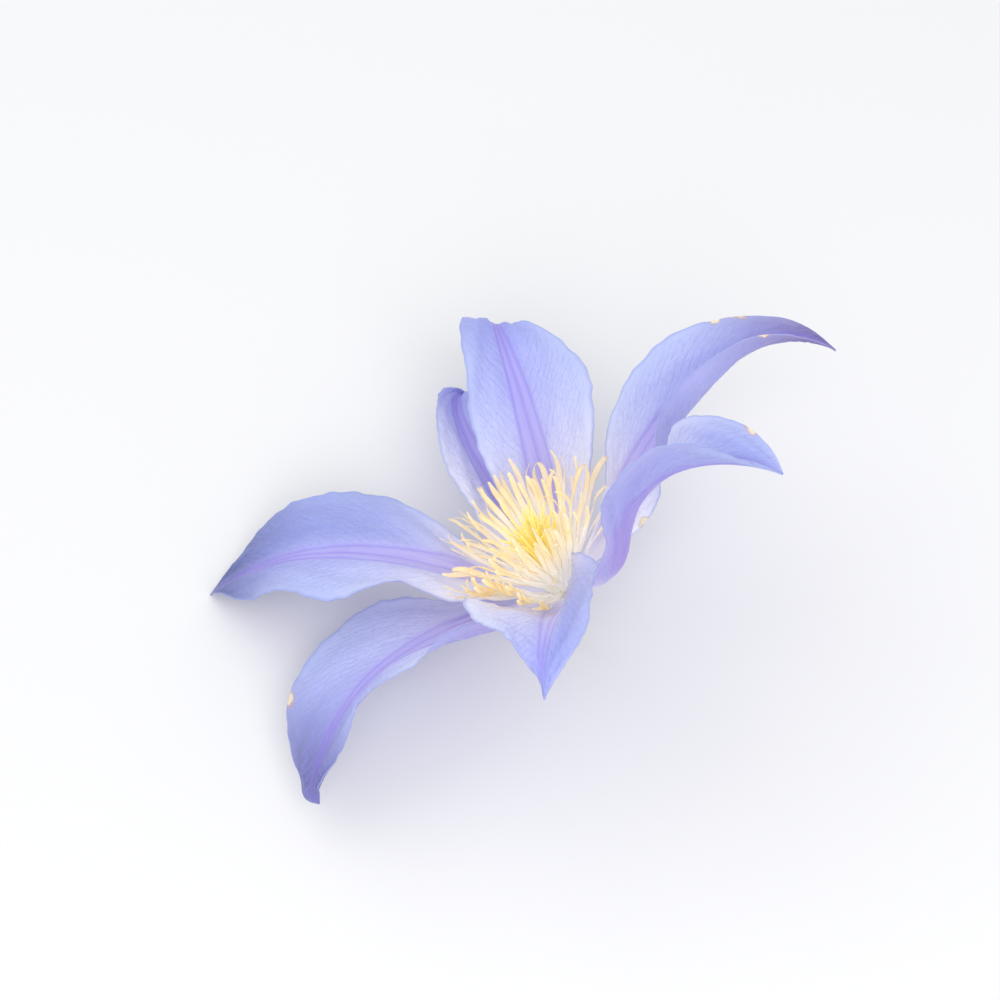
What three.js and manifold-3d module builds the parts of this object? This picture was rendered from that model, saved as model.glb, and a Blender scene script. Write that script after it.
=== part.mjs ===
// A single clematis flower, picked with a short stalk, lying on a surface.
// Seven petal-like sepals stand in one whorl round a crown of stamens and a tuft of styles.
// Units are millimetres, +Z is up, and the surface that it lies on is z = 0.
// Inside the flower the flower's own axis is +Z, and azimuths are counted from +X towards +Y.

import * as THREE from "three";
import { mergeVertices } from "three/addons/utils/BufferGeometryUtils.js";
import Module from "manifold-3d";

const wasm = await Module();
wasm.setup();

// How the flower lies: it leans on its stalk's cut end and on the tips of two sepals.
const LEAN = 30.5; // degrees between the flower's axis and the vertical
const LEAN_AXIS = -152.5; // azimuth, in the flower, of the level line that it leans about
const HEADING = 18.5; // degrees that the leaning flower is turned about the vertical
const FLOWER_CENTRE = [7.86, -11.96, 18.35]; // where the top of the receptacle lies

// Sepals
const BLADE_THICKNESS = 0.7;
const BLADE_ROWS = 20; // steps from base to tip
const HALF_COLUMNS = 5; // steps from midrib to margin
const SEAT_RADIUS = 3.8; // where the blades start, just clear of the receptacle
const SEAT_HEIGHT = -1;
const CLAW = 1.1; // half width of the narrow base
const TIP = 0.25; // half width of the blunt end of the tip
const SHOULDER_END = 0.35; // share of the length that a shoulder takes up
const CREASE = 0.12; // share of a half width over which the fold at the midrib is rounded
const CREASE_STEPS = 3; // sub-steps of the sideways walk in one column
const LEVEL = [0, 0, 0, 0, 0];
const WAVE_HEIGHT = 0.8; // how far a margin waves, and how many times, where the sepal doesn't say
const WAVES = 3;

// Each list holds the values at five even stations from base to tip, in degrees.
// lift: the midrib's slope above the flower's plane. sweep: its sideways turn. roll: the blade's twist.
// A sepal has a clockwise half and an anticlockwise half, as seen from above. width: a half's width in
// millimetres. peak: where along the length it is widest. taper: how fast it narrows from there.
// shoulder: how much further its low shoulder reaches. fold: its rise at the midrib. curl: its further
// bend out to the margin. wave: the height, the number and the start of its margin's waves.
const SEPALS = {
  sepal_back: {
    seat: 52, azimuth: 66, length: 72,
    lift: [30, 40, 40, 14, -90],
    sweep: [8, 4, 6, 16, 24],
    roll: [0, 0, 5, 25, 40],
    clockwise: { width: 17, peak: 0.43, taper: 3.7, fold: [12, 30, 20, 18, -10] },
    anticlockwise: { width: 11.5, peak: 0.5, taper: 1.5, fold: [12, 20, 25, 20, 0] },
  },
  sepal_back_left: {
    seat: 107, azimuth: 91.5, length: 67,
    lift: [10, 31, 27, 2, -80],
    sweep: [0, 0, 0, -15, -30],
    clockwise: { width: 15, peak: 0.5, taper: 2, fold: [-5, -12, 0, 5, 5] },
    anticlockwise: { width: 12, peak: 0.42, taper: 3.2, fold: [12, 45, 65, 75, 80] },
  },
  sepal_left: {
    seat: 148, azimuth: 150, length: 77,
    lift: [25, 35, 20, -4, -24],
    clockwise: { width: 15.5, peak: 0.62, taper: 2.5, fold: [12, 20, 16, 12, 5] },
    anticlockwise: {
      width: 15, peak: 0.5, taper: 2,
      shoulder: 7,
      fold: [6, 24, 10, 4, 5],
      wave: [1.5, 3.3, 0],
    },
  },
  sepal_left_front: {
    seat: 203, azimuth: 190, length: 68,
    lift: [28, 17, 0, -22, -45],
    sweep: [-3, -2, 0, 12, 26],
    clockwise: { width: 20, peak: 0.5, taper: 2.1, fold: [-20, -10, 4, 8, 8] },
    anticlockwise: {
      width: 11.5, peak: 0.43, taper: 1.4,
      fold: [-6, -46, 20, 22, 20],
      curl: [20, 140, 10, 0, 0],
    },
  },
  sepal_front: {
    seat: 260, azimuth: 258.5, length: 49.5,
    lift: [20, 31, 29, 4, -38],
    sweep: [0, 0, 0, -12, -16],
    clockwise: { width: 18, peak: 0.42, taper: 3.7, fold: [12, 29, 34, 24, 10] },
    anticlockwise: { width: 13.5, peak: 0.46, taper: 2, fold: [12, 50, 32, 10, 0] },
  },
  sepal_right_front: {
    seat: -45, azimuth: -38.5, length: 66.5,
    lift: [-5, 56, 40, 5, -42],
    clockwise: { width: 11.2, peak: 0.68, taper: 3.6, shoulder: 6.5, fold: [12, 42, 54, 60, 50] },
    anticlockwise: { width: 11.4, peak: 0.66, taper: 2.7, fold: [0, -4, -3, 20, 12] },
  },
  sepal_right: {
    seat: 4, azimuth: 4, length: 77,
    lift: [40, 35, 23, 2, -64],
    sweep: [0, 0, 0, -12, -25],
    clockwise: {
      width: 15, peak: 0.55, taper: 3.4,
      shoulder: 6,
      fold: [2, -22, -22, -12, 0],
      curl: [0, 0, 122, 98, 55],
    },
    anticlockwise: { width: 13.2, peak: 0.52, taper: 3.3, fold: [0, 0, 30, 20, 20] },
  },
};

// Stamens: flat filaments with a broader anther at the end, fused into a ring on the receptacle.
const STAMENS = 80;
const STAMEN_RING = { inside: 1.9, outside: 3.2, bottom: 0.3, top: 1.9, chamfer: 0.4 };
const STAMEN_ROOT = { radius: 2.3, spread: 0.5, height: 1 };
const STAMEN_LENGTH = 24.5;
const INNER_SHORTENING = 0.14; // share of that length that the innermost ones lack
const STAMEN_LENGTH_SPREAD = 0.1; // share of it that chance spreads them over
const STAMEN_THICKNESS = 0.7;
const STAMEN_ROWS = 6;
const FILAMENT_WIDTH = 1.1;
const ANTHER_WIDTH = 1.5;
const ANTHER_SHARE = 0.22; // share of a stamen's length that is anther
const INNER_LIFT = 72; // degrees that the inner stamens stand above the flower's plane
const OUTER_LIFT = 44;
// Where the outer ones stand lower or higher than that: the azimuth in the middle of a lobe, how
// sharp the lobe is, and the degrees. They lie low in the front sepal's trough, and stand clear of the
// margins beside it and of the sepal at the back.
const LIFT_LOBES = [[204, 24, 2], [228, 20, 11], [257, 24, -9], [294, 20, 13], [332, 14, -8], [50, 4, 6]];
const STAMEN_DROOP = 2; // degrees that a stamen sinks from root to tip
const STAMEN_BEND = 10; // degrees that chance adds to the droop or takes from it
const STAMEN_TURN = 16;
// More of them start lower on the side of the front sepal, and bend up. Azimuths and lifts in degrees.
const SKIRT = { count: 12, from: 192, to: 258, radius: 2.9, below: 11, rise: 11, length: 22.5 };

// Styles: a tuft of thin needles fused into a low dome inside the ring of stamens.
const STYLES = 18;
const STYLE_DOME = { radius: 1.5, bottom: 0.3, shoulder: 1.8, crown: [1, 2.7], top: 3 };
const STYLE_ROOT = { radius: 0.9, height: 1.2 };
const STYLE_LENGTH = 17.8;
const STYLE_LENGTH_SPREAD = 0.25; // share of that length that chance may take off
const STYLE_THICKNESS = 0.8;
const STYLE_NARROWING = 0.25; // share of its width that a style loses by its tip
const STYLE_ROWS = 4;
const STYLE_SPREAD = 10; // degrees that the outer styles lean outward at the root, and then more
const STYLE_DROOP = 6;
const STYLE_TURN = 50;

// Receptacle and stalk
const RECEPTACLE_PROFILE = [[0, -5], [1.5, -5], [2.4, -4], [3.1, -2.4], [3.1, -0.8], [2.5, 0], [0, 0]];
const STALK_RADIUS = 1.3;
const STALK_PATH = [[0, 0, -3], [-0.5, 0.5, -8], [-2, 3, -12.5], [-4, 7, -16]];
const STALK_STEPS = 8;
const STALK_SIDES = 8;
const TURNED_SIDES = 20;

const GOLDEN_ANGLE = Math.PI * (3 - Math.sqrt(5));
const rad = THREE.MathUtils.degToRad;

// A smooth curve through evenly spaced values, read at u from 0 to 1.
function along(values, u) {
  const last = values.length - 1;
  const i = Math.min(Math.floor(u * last), last - 1);
  const t = u * last - i;
  const b = values[i];
  const c = values[i + 1];
  const a = i > 0 ? values[i - 1] : 2 * b - c;
  const d = i + 2 <= last ? values[i + 2] : 2 * c - b;
  return b + 0.5 * t * (c - a + t * (2 * a - 5 * b + 4 * c - d + t * (3 * (b - c) + d - a)));
}

function direction(lift, azimuth) {
  const level = Math.cos(lift);
  return new THREE.Vector3(level * Math.cos(azimuth), level * Math.sin(azimuth), Math.sin(lift));
}

function levelSide(azimuth) {
  return new THREE.Vector3(-Math.sin(azimuth), Math.cos(azimuth), 0);
}

// The points that a walker reaches who starts at a point and turns as headingAt(u) says.
// Each comes with its share u of the way and its forward direction.
function walk(start, length, rows, headingAt) {
  const point = start.clone();
  const stops = [];
  for (let i = 0; i <= rows; i++) {
    const u = i / rows;
    const { lift, azimuth } = headingAt(u);
    const forward = direction(lift, azimuth);
    if (i > 0) point.addScaledVector(stops[i - 1].forward.clone().add(forward), length / rows / 2);
    stops.push({ u, azimuth, forward, point: point.clone() });
  }
  return stops;
}

// Half width of a blade at u: it rises to its widest at the peak, and keeps a claw and a blunt tip. A
// shoulder adds to its first part.
function halfWidth(half, u) {
  const rise = (u / half.peak) ** (half.peak * half.taper);
  const fall = ((1 - u) / (1 - half.peak)) ** ((1 - half.peak) * half.taper);
  const shoulder = (half.shoulder ?? 0) * Math.sin(Math.PI * Math.min(1, u / SHOULDER_END));
  return Math.hypot(half.width * rise * fall, shoulder, CLAW * (1 - u) ** 2, TIP);
}

// One row of a half blade: a walk from the midrib to the margin whose slope starts at the fold and
// grows by the curl, with the margin's wave added square to the blade. sign is 1 on the anticlockwise
// half and -1 on the other.
function halfRow(half, sign, stop) {
  const fold = rad(along(half.fold, stop.u));
  const curl = rad(along(half.curl ?? LEVEL, stop.u));
  const [height, count, start] = half.wave ?? [WAVE_HEIGHT, WAVES, sign > 0 ? 0.3 : 0];
  const calmEnds = Math.sqrt(Math.max(0, Math.sin(Math.PI * stop.u)));
  const wave = height * Math.sin(2 * Math.PI * (count * stop.u + start)) * calmEnds;
  const steps = HALF_COLUMNS * CREASE_STEPS;
  const stride = halfWidth(half, stop.u) / steps;
  const row = [];
  let out = 0;
  let rise = 0;
  for (let k = 1; k <= steps; k++) {
    const middle = (k - 0.5) / steps;
    const slope = fold * Math.min(1, middle / CREASE) + curl * middle;
    out += Math.cos(slope) * stride;
    rise += Math.sin(slope) * stride;
    if (k % CREASE_STEPS === 0) {
      const share = k / steps;
      const end = fold + curl * share;
      const lifted = wave * share ** 2;
      row.push(stop.point.clone()
        .addScaledVector(stop.side, sign * (out - Math.sin(end) * lifted))
        .addScaledVector(stop.up, rise + Math.cos(end) * lifted));
    }
  }
  return row;
}

// A thin solid of even thickness over a grid of points, split into triangles alike on both faces.
function bladeSolid(grid, thickness) {
  const rows = grid.length;
  const columns = grid[0].length;
  const positions = [];
  for (const face of [0.5, -0.5]) {
    grid.forEach((row, i) => row.forEach((point, j) => {
      const lengthways = grid[Math.min(i + 1, rows - 1)][j].clone().sub(grid[Math.max(i - 1, 0)][j]);
      const sideways = row[Math.min(j + 1, columns - 1)].clone().sub(row[Math.max(j - 1, 0)]);
      const normal = lengthways.cross(sideways).normalize();
      positions.push(...point.clone().addScaledVector(normal, face * thickness));
    }));
  }
  const index = [];
  const back = rows * columns;
  for (let i = 0; i + 1 < rows; i++) {
    for (let j = 0; j + 1 < columns; j++) {
      const a = i * columns + j;
      const [b, c, d] = [a + columns, a + columns + 1, a + 1];
      index.push(a, b, c, a, c, d);
      index.push(back + a, back + c, back + b, back + a, back + d, back + c);
    }
  }
  const rim = [];
  for (let i = 0; i + 1 < rows; i++) rim.push(i * columns);
  for (let j = 0; j + 1 < columns; j++) rim.push((rows - 1) * columns + j);
  for (let i = rows - 1; i > 0; i--) rim.push(i * columns + columns - 1);
  for (let j = columns - 1; j > 0; j--) rim.push(j);
  rim.forEach((a, k) => {
    const b = rim[(k + 1) % rim.length];
    index.push(b, a, back + a, b, back + a, back + b);
  });
  const geometry = new THREE.BufferGeometry();
  geometry.setAttribute("position", new THREE.Float32BufferAttribute(positions, 3));
  geometry.setIndex(index);
  return geometry;
}

// A sepal: its midrib is a walk, and each row spreads to both margins. The blade rolls about the
// midrib, and up is square to it on its inner face.
function sepalGeometry(sepal) {
  const seat = rad(sepal.seat);
  const start = new THREE.Vector3(SEAT_RADIUS * Math.cos(seat), SEAT_RADIUS * Math.sin(seat), SEAT_HEIGHT);
  const midrib = walk(start, sepal.length, BLADE_ROWS, (u) => ({
    lift: rad(along(sepal.lift, u)),
    azimuth: rad(sepal.azimuth + along(sepal.sweep ?? LEVEL, u)),
  }));
  const grid = midrib.map((stop) => {
    const roll = rad(along(sepal.roll ?? LEVEL, stop.u));
    stop.side = levelSide(stop.azimuth).applyAxisAngle(stop.forward, roll);
    stop.up = stop.forward.clone().cross(stop.side);
    const clockwise = halfRow(sepal.clockwise, -1, stop).reverse();
    return [...clockwise, stop.point, ...halfRow(sepal.anticlockwise, 1, stop)];
  });
  return bladeSolid(grid, BLADE_THICKNESS);
}

// A three.js geometry as a solid for joining, and back.
function toSolid(geometry) {
  const bare = geometry.clone();
  bare.deleteAttribute("normal");
  bare.deleteAttribute("uv");
  const merged = mergeVertices(bare, 1e-4);
  return new wasm.Manifold(new wasm.Mesh({
    numProp: 3,
    vertProperties: merged.attributes.position.array,
    triVerts: new Uint32Array(merged.index.array),
  }));
}

function joined(parts) {
  const mesh = parts.reduce((whole, part) => whole.add(part)).getMesh();
  const geometry = new THREE.BufferGeometry();
  geometry.setAttribute("position", new THREE.BufferAttribute(mesh.vertProperties, 3));
  geometry.setIndex(new THREE.BufferAttribute(mesh.triVerts, 1));
  return geometry;
}

// A solid of revolution about +Z from a profile of [radius, height] points.
function turned(profile) {
  const points = profile.map(([radius, height]) => new THREE.Vector2(radius, height));
  return toSolid(new THREE.LatheGeometry(points, TURNED_SIDES).rotateX(Math.PI / 2));
}

// A straight-edged strip along a walk, level from side to side.
function stripSolid(root, length, rows, thickness, headingAt, widthAt) {
  const grid = walk(root, length, rows, headingAt).map((stop) => [-0.5, 0.5].map((share) => (
    stop.point.clone().addScaledVector(levelSide(stop.azimuth), share * widthAt(stop.u))
  )));
  return toSolid(bladeSolid(grid, thickness));
}

// Seeded random numbers from 0 to 1.
function seeded(seed) {
  let state = seed;
  return () => {
    state = (state * 1664525 + 1013904223) % 2 ** 32;
    return state / 2 ** 32;
  };
}

// How steeply the outer stamens stand at an azimuth.
function outerLift(azimuth) {
  return LIFT_LOBES.reduce((lift, [middle, sharpness, degrees]) => (
    lift + degrees * Math.max(0, Math.cos(azimuth - rad(middle))) ** sharpness
  ), OUTER_LIFT);
}

function filamentWidth(u) {
  return u > 1 - ANTHER_SHARE ? ANTHER_WIDTH : FILAMENT_WIDTH;
}

// The stamens turn round the ring by the golden angle, from a steep inner row to a leaning outer row.
function stamensGeometry() {
  const random = seeded(7);
  const { inside, outside, bottom, top, chamfer } = STAMEN_RING;
  const parts = [turned([
    [inside, bottom], [outside, bottom], [outside, top - chamfer],
    [outside - chamfer, top], [inside, top], [inside, bottom],
  ])];
  for (let k = 0; k < STAMENS; k++) {
    const outward = (k + 0.5) / STAMENS;
    const azimuth = k * GOLDEN_ANGLE;
    const radius = STAMEN_ROOT.radius + STAMEN_ROOT.spread * outward;
    const rootLift = INNER_LIFT + (outerLift(azimuth) - INNER_LIFT) * outward;
    const bend = STAMEN_BEND * (1 - 2 * random());
    const turn = STAMEN_TURN * (random() - 0.5);
    const shorter = INNER_SHORTENING * (1 - outward) + STAMEN_LENGTH_SPREAD * (random() - 0.5);
    const length = STAMEN_LENGTH * (1 - shorter);
    const root = direction(0, azimuth).multiplyScalar(radius).setZ(STAMEN_ROOT.height);
    const headingAt = (u) => ({
      lift: rad(rootLift - STAMEN_DROOP * u + bend * u ** 2),
      azimuth: azimuth + rad(turn) * u,
    });
    parts.push(stripSolid(root, length, STAMEN_ROWS, STAMEN_THICKNESS, headingAt, filamentWidth));
  }
  for (let k = 0; k < SKIRT.count; k++) {
    const azimuth = rad(SKIRT.from + (SKIRT.to - SKIRT.from) * k / (SKIRT.count - 1));
    const root = direction(0, azimuth).multiplyScalar(SKIRT.radius).setZ(STAMEN_ROOT.height);
    const rootLift = outerLift(azimuth) - SKIRT.below;
    const headingAt = (u) => ({ lift: rad(rootLift + SKIRT.rise * u), azimuth });
    parts.push(stripSolid(root, SKIRT.length, STAMEN_ROWS, STAMEN_THICKNESS, headingAt, filamentWidth));
  }
  return joined(parts);
}

// The styles stand close together on their dome and bend gently.
function stylesGeometry() {
  const random = seeded(11);
  const { radius, bottom, shoulder, crown, top } = STYLE_DOME;
  const parts = [turned([[0, bottom], [radius, bottom], [radius, shoulder], crown, [0, top]])];
  for (let k = 0; k < STYLES; k++) {
    const outward = Math.sqrt((k + 0.5) / STYLES);
    const azimuth = k * GOLDEN_ANGLE;
    const turn = STYLE_TURN * (random() - 0.5);
    const length = STYLE_LENGTH * (1 - STYLE_LENGTH_SPREAD * random());
    const root = direction(0, azimuth).multiplyScalar(STYLE_ROOT.radius * outward).setZ(STYLE_ROOT.height);
    const headingAt = (u) => ({
      lift: rad(90 - (STYLE_SPREAD + STYLE_DROOP * u) * outward),
      azimuth: azimuth + rad(turn) * u,
    });
    const widthAt = (u) => STYLE_THICKNESS * (1 - STYLE_NARROWING * u);
    parts.push(stripSolid(root, length, STYLE_ROWS, STYLE_THICKNESS, headingAt, widthAt));
  }
  return joined(parts);
}

// The swollen receptacle under the whorl, with the stalk's cut stump.
function receptacleGeometry() {
  const body = turned(RECEPTACLE_PROFILE);
  const section = new THREE.Shape().absarc(0, 0, STALK_RADIUS, 0, 2 * Math.PI);
  const stalk = new THREE.ExtrudeGeometry(section, {
    extrudePath: new THREE.CatmullRomCurve3(STALK_PATH.map((place) => new THREE.Vector3(...place))),
    steps: STALK_STEPS,
    curveSegments: STALK_SIDES,
    bevelEnabled: false,
  });
  return joined([body, toSolid(stalk)]);
}

function named(name, geometry, color, roughness) {
  const mesh = new THREE.Mesh(geometry, new THREE.MeshStandardMaterial({ color, roughness, metalness: 0 }));
  mesh.name = name;
  return mesh;
}

const flower = new THREE.Group();
for (const [name, sepal] of Object.entries(SEPALS)) {
  flower.add(named(name, sepalGeometry(sepal), 0xb4bcf0, 0.6));
}
flower.add(named("stamens", stamensGeometry(), 0xf3e9b8, 0.6));
flower.add(named("styles", stylesGeometry(), 0xf2cf4a, 0.6));
flower.add(named("receptacle", receptacleGeometry(), 0x86a05a, 0.7));
flower.quaternion.setFromAxisAngle(direction(0, rad(LEAN_AXIS)), rad(LEAN));

const part = new THREE.Group();
part.add(flower);
part.rotation.z = rad(HEADING);
part.position.set(...FLOWER_CENTRE);

export default part;
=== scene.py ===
"""A picked clematis flower, pale blue-violet, lying on a pale floor.

Lengths in the sections are millimetres in the flower's own frame: its axis is +Z, its middle is the
top of the receptacle, and azimuths are counted from +X towards +Y. laid() brings them to the frame.
"""

import math

import bpy
import numpy as np
from mathutils import Matrix


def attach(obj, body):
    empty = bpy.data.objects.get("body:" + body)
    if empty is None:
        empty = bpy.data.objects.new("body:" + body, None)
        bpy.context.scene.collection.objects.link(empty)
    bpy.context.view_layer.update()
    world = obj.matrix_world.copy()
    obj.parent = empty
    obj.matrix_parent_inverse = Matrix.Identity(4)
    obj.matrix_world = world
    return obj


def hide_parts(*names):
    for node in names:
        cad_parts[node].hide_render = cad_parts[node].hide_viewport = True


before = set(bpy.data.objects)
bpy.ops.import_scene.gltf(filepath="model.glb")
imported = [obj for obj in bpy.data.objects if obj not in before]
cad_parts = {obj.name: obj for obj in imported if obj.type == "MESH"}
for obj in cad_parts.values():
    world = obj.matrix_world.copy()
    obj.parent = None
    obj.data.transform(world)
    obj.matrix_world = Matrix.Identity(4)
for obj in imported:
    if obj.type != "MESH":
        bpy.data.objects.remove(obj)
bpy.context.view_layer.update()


# ---------------------------------------------------------------------------------------------
# How the flower lies. The picked flower leans over on the cut end of its stalk and on the tips
# of two sepals, so its face looks up at an angle.

LEAN = 30.5  # degrees between the flower's axis and the vertical
LEAN_AXIS = -152.5  # azimuth, in the flower, of the level line that it leans about
HEADING = 18.5  # degrees that the leaning flower is turned about the vertical
FLOWER_CENTRE = (7.86, -11.96, 18.35)  # where the top of the receptacle lies
MM = 0.001


def turning(axis, degrees):
    """The matrix that turns column vectors about a unit axis: Rodrigues' formula."""
    x, y, z = axis
    cross = np.array([[0, -z, y], [z, 0, -x], [-y, x, 0]])
    angle = math.radians(degrees)
    return np.eye(3) + math.sin(angle) * cross + (1 - math.cos(angle)) * cross @ cross


lean_line = (math.cos(math.radians(LEAN_AXIS)), math.sin(math.radians(LEAN_AXIS)), 0)
LYING = turning((0, 0, 1), HEADING) @ turning(lean_line, LEAN)


def laid(points):
    """Points of the flower's frame in metres of the part's frame: turned as it lies, then moved."""
    return (np.asarray(points) @ LYING.T + FLOWER_CENTRE) * MM


# ---------------------------------------------------------------------------------------------
# The seven sepals. Each is a thin, soft, satiny blade with three main veins, which grew from the
# rim of the receptacle on a narrow claw. They stand in one whorl, and their margins are waved.

BLADE_ROWS = 180
MIDRIB_COLUMNS = 14  # narrow columns beside the midrib, which carry the grooves of the main veins
OUTER_COLUMNS = 21
MIDRIB_SHARE = 0.26  # share of a half width that the narrow columns cover
EDGE_SHARE = 0.988  # the last column is a thin one, so that the edge shades as a rounded one
MIDDLE_THICKNESS = 0.42
MARGIN_THICKNESS = 0.2
SEAT_RADIUS = 3.8
SEAT_HEIGHT = -1
CLAW = 1.1
TIP = 0.16
SHOULDER_END = 0.35  # share of the length that a shoulder takes up
HOOK_START = 0.94  # share of the length at which a hooked tip begins to bend round
CREASE = 0.12  # share of a half width over which the fold at the midrib is rounded
LEVEL = (0, 0, 0, 0, 0)
WAVE_HEIGHT = 0.8
WAVES = 3
WAVE_START = 0.3  # of the far margin's waves; the near margin's start at 0
WIDTH_CHANCE = 0.012  # share of a half width by which chance moves its margin in and out
WIDTH_COUNTS = (7, 11, 17)  # wave counts along a sepal: of that, and below of the other ripples
CRISP_HEIGHT = 0.14
CRISP_COUNTS = (8, 13, 19, 27)
VEIN_SPREAD = 4.0  # how far the outer two main veins would run from the midrib at the base
VEINS_PART = 0.3  # share of the length over which they part from the midrib
VEIN_WIDTH = 0.34
GROOVE_DEPTH = 0.2
RIB_HEIGHT = 0.22
MIDRIB_LINE, VEIN_LINE = 0.42, 0.38  # half widths of the lines that colour the main veins
PUCKER_HEIGHT = 0.2
PUCKER_SPACING = 2.7  # between side veins, along the midrib
PUCKER_SLANT = 1.35  # how much faster a side vein runs along the blade than across it
PUCKER_BEND = 1.1  # power of the distance from the midrib, which bends side veins to the tip
PUCKER_COUNTS = (2, 5, 9)
UNEVEN_COUNTS = (4, 7, 11)
BILLOW_HEIGHT = 0.35
BILLOW_COUNTS = (2.3, 3.7)
FLAT_MM = 100  # millimetres to one unit of the UV map named flat

# Each list holds the values at five even stations from base to tip, in degrees.
# lift: the midrib's slope above the flower's plane. sweep: its sideways turn. roll: the blade's twist.
# width: a half's width. peak: where along the length it is widest. taper: how fast it narrows from
# there. shoulder: how much further its low shoulder reaches. fold: its rise at the midrib. curl: its
# further bend out to the margin. wave: the height, number and start of its margin's waves. hook: how
# far the last bit of the tip bends round.
SEPALS = {
    "sepal_back": dict(
        seat=52, azimuth=66, length=72, seed=1,
        lift=(30, 40, 40, 14, -90),
        sweep=(8, 4, 6, 16, 24),
        roll=(0, 0, 5, 25, 40),
        clockwise=dict(width=17, peak=0.43, taper=3.7, fold=(12, 30, 20, 18, -10)),
        anticlockwise=dict(width=11.5, peak=0.5, taper=1.5, fold=(12, 20, 25, 20, 0)),
    ),
    "sepal_back_left": dict(
        seat=107, azimuth=91.5, length=67, seed=2,
        lift=(10, 31, 27, 2, -80),
        sweep=(0, 0, 0, -15, -30),
        clockwise=dict(width=15, peak=0.5, taper=2, fold=(-5, -12, 0, 5, 5)),
        anticlockwise=dict(width=12, peak=0.42, taper=3.2, fold=(12, 45, 65, 75, 80)),
    ),
    "sepal_left": dict(
        seat=148, azimuth=150, length=77, seed=3,
        lift=(25, 35, 20, -4, -24),
        clockwise=dict(width=15.5, peak=0.62, taper=2.5, fold=(12, 20, 16, 12, 5)),
        anticlockwise=dict(
            width=15, peak=0.5, taper=2, shoulder=7, fold=(6, 24, 10, 4, 5), wave=(1.5, 3.3, 0),
        ),
    ),
    "sepal_left_front": dict(
        seat=203, azimuth=190, length=68, seed=4,
        lift=(28, 17, 0, -22, -45),
        sweep=(-3, -2, 0, 12, 26),
        hook=70,
        clockwise=dict(width=20, peak=0.5, taper=2.1, fold=(-20, -10, 4, 8, 8)),
        anticlockwise=dict(
            width=11.5, peak=0.43, taper=1.4, fold=(-6, -46, 20, 22, 20), curl=(20, 140, 10, 0, 0),
        ),
    ),
    "sepal_front": dict(
        seat=260, azimuth=258.5, length=49.5, seed=5,
        lift=(20, 31, 29, 4, -38),
        sweep=(0, 0, 0, -12, -16),
        clockwise=dict(width=18, peak=0.42, taper=3.7, fold=(12, 29, 34, 24, 10)),
        anticlockwise=dict(width=13.5, peak=0.46, taper=2, fold=(12, 50, 32, 10, 0)),
    ),
    "sepal_right_front": dict(
        seat=-45, azimuth=-38.5, length=66.5, seed=6,
        lift=(-5, 56, 40, 5, -42),
        clockwise=dict(width=11.2, peak=0.68, taper=3.6, shoulder=6.5, fold=(12, 42, 54, 60, 50)),
        anticlockwise=dict(width=11.4, peak=0.66, taper=2.7, fold=(0, -4, -3, 20, 12)),
    ),
    "sepal_right": dict(
        seat=4, azimuth=4, length=77, seed=7,
        lift=(40, 35, 23, 2, -64),
        sweep=(0, 0, 0, -12, -25),
        clockwise=dict(
            width=15, peak=0.55, taper=3.4, shoulder=6, fold=(2, -22, -22, -12, 0), curl=(0, 0, 122, 98, 55),
        ),
        anticlockwise=dict(width=13.2, peak=0.52, taper=3.3, fold=(0, 0, 30, 20, 20)),
    ),
}


def smooth_curve(values, u):
    """Catmull-Rom curve through evenly spaced values, carried on straight at its ends, at shares u."""
    knots = np.asarray(values, float)
    last = len(knots) - 1
    place = np.clip(np.asarray(u) * last, 0, last - 1e-9)
    i = place.astype(int)
    t = place - i
    padded = np.concatenate([[2 * knots[0] - knots[1]], knots, [2 * knots[-1] - knots[-2]]])
    a, b, c, d = padded[i], padded[i + 1], padded[i + 2], padded[i + 3]
    return b + 0.5 * t * (c - a + t * (2 * a - 5 * b + 4 * c - d + t * (3 * (b - c) + d - a)))


def smooth_step(low, high, x):
    """0 below low, 1 above high, and the smooth cubic 3t^2 - 2t^3 between them."""
    t = np.clip((x - low) / (high - low), 0, 1)
    return t * t * (3 - 2 * t)


def unit(vectors):
    """Vectors divided by their lengths."""
    return vectors / np.maximum(np.linalg.norm(vectors, axis=-1, keepdims=True), 1e-12)


def walk(start, length, lift, azimuth):
    """Where a walker gets to from start who goes length in even steps: the running sum, by the
    trapezium rule, of the unit directions that lift and azimuth (radians, last axis) give."""
    level = np.cos(lift)
    forward = np.stack([level * np.cos(azimuth), level * np.sin(azimuth), np.sin(lift)], -1)
    stride = np.asarray(length)[..., None, None] / (forward.shape[-2] - 1)
    steps = (forward[..., 1:, :] + forward[..., :-1, :]) / 2 * stride
    ways = np.concatenate([np.zeros_like(forward[..., :1, :]), np.cumsum(steps, -2)], -2)
    return np.asarray(start)[..., None, :] + ways, forward


def ripple(shares, counts, random):
    """A sum of sines of the given wave counts with chance phases, evened out to about -1 to 1."""
    phases = random.random(len(counts)) * 2 * np.pi
    waves = [np.sin(2 * np.pi * count * shares + phase) for count, phase in zip(counts, phases)]
    return sum(waves) / math.sqrt(len(counts))


def half_width(half, u):
    """Half width at u: it rises to its widest at the peak, and keeps a claw and a narrow tip. A
    shoulder adds half a wave of a sine to its first part."""
    peak, taper = half["peak"], half["taper"]
    rise = (u / peak) ** (peak * taper)
    fall = ((1 - u) / (1 - peak)) ** ((1 - peak) * taper)
    shoulder = half.get("shoulder", 0) * np.sin(np.pi * np.minimum(1, u / SHOULDER_END))
    blade = half["width"] * rise * fall
    return np.sqrt(blade ** 2 + shoulder ** 2 + (CLAW * (1 - u) ** 2) ** 2 + TIP ** 2)


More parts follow.
